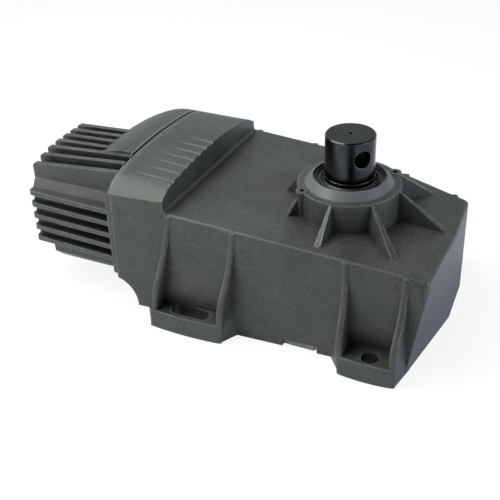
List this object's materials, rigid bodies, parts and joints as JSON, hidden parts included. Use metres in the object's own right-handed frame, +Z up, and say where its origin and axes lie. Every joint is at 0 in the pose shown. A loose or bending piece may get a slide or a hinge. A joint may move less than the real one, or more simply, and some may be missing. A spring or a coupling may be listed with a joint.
{
  "type": "gate motor",
  "caption": "Low gear motor for a swing gate: finned motor, ribbed cast gearbox on bolt-down feet, and an upright output shaft with a cross-hole.",
  "frame": {"origin": "on the output shaft axis, at the plane that the feet and the bottom cover stand on", "axes": "+Z up along the output shaft, +X away from the motor along the gearbox, +Y towards the cable inlet"},
  "size_m": [0.3038, 0.1828, 0.1332],
  "materials": {
    "housing_paint": "satin",
    "cover_aluminium": "die-cast",
    "gasket": "matte",
    "seal_rubber": "satin",
    "black_steel": "blackened",
    "gear_steel": "machined",
    "bearing_steel": "ground",
    "bronze": "machined",
    "copper": "varnished",
    "sheet_steel": "laminated",
    "zinc_screw": "zinc plated",
    "gland_plastic": "moulded"
  },
  "bodies": {
    "housing": {"gearbox_housing": "housing_paint", "bottom_cover": "cover_aluminium", "bottom_cover_gasket": "gasket", "bottom_cover_screws": "zinc_screw", "motor_housing": "housing_paint", "motor_flange_gasket": "gasket", "motor_tie_screws": "zinc_screw", "motor_bearing_plate": "cover_aluminium", "bearing_plate_screws": "zinc_screw", "motor_shaft_seal": "seal_rubber", "stator_core": "sheet_steel", "stator_windings": "copper", "front_bearing_outer_ring": "bearing_steel", "rear_bearing_outer_ring": "bearing_steel", "wheel_lower_bush": "bronze", "wheel_upper_bush": "bronze", "intermediate_lower_bush": "bronze", "intermediate_upper_bush": "bronze", "output_lower_bush": "bronze", "upper_bearing_outer_ring": "bearing_steel", "upper_bearing_balls": "bearing_steel", "upper_bearing_circlip": "black_steel", "output_shaft_seal": "seal_rubber", "cable_gland": "gland_plastic", "gland_nut": "gland_plastic"},
    "rotor": {"rotor_shaft": "gear_steel", "worm": "gear_steel", "rotor_core": "sheet_steel", "rotor_end_rings": "cover_aluminium", "front_bearing_inner_ring": "bearing_steel", "rear_bearing_inner_ring": "bearing_steel"},
    "wheel_shaft": {"worm_wheel": "bronze", "wheel_pinion_shaft": "gear_steel", "wheel_key": "gear_steel"},
    "intermediate_shaft": {"intermediate_gear": "gear_steel", "intermediate_pinion_shaft": "gear_steel", "intermediate_key": "gear_steel"},
    "output": {"output_shaft": "black_steel", "output_gear": "gear_steel", "output_key": "gear_steel", "output_spacer": "gear_steel", "upper_bearing_inner_ring": "bearing_steel"}
  },
  "joints": [
    {"name": "rotor_spin", "type": "hinge", "parent": "housing", "child": "rotor", "pos_m": [-0.2025, -0.0255, 0.056], "axis": [1, 0, 0], "continuous": true},
    {"name": "wheel_turn", "type": "hinge", "parent": "housing", "child": "wheel_shaft", "pos_m": [-0.09742, 0.0085, 0.056], "axis": [0, 0, 1], "continuous": true},
    {"name": "intermediate_turn", "type": "hinge", "parent": "housing", "child": "intermediate_shaft", "pos_m": [-0.05633, 0.02276, 0.04], "axis": [0, 0, 1], "continuous": true},
    {"name": "output_turn", "type": "hinge", "parent": "housing", "child": "output", "pos_m": [0, 0, 0.04], "axis": [0, 0, 1], "continuous": true}
  ],
  "couplings": [
    {"joint": "wheel_turn", "follows": "rotor_spin", "ratio": -0.02},
    {"joint": "intermediate_turn", "follows": "rotor_spin", "ratio": 0.0041667},
    {"joint": "output_turn", "follows": "rotor_spin", "ratio": -0.00094697}
  ]
}
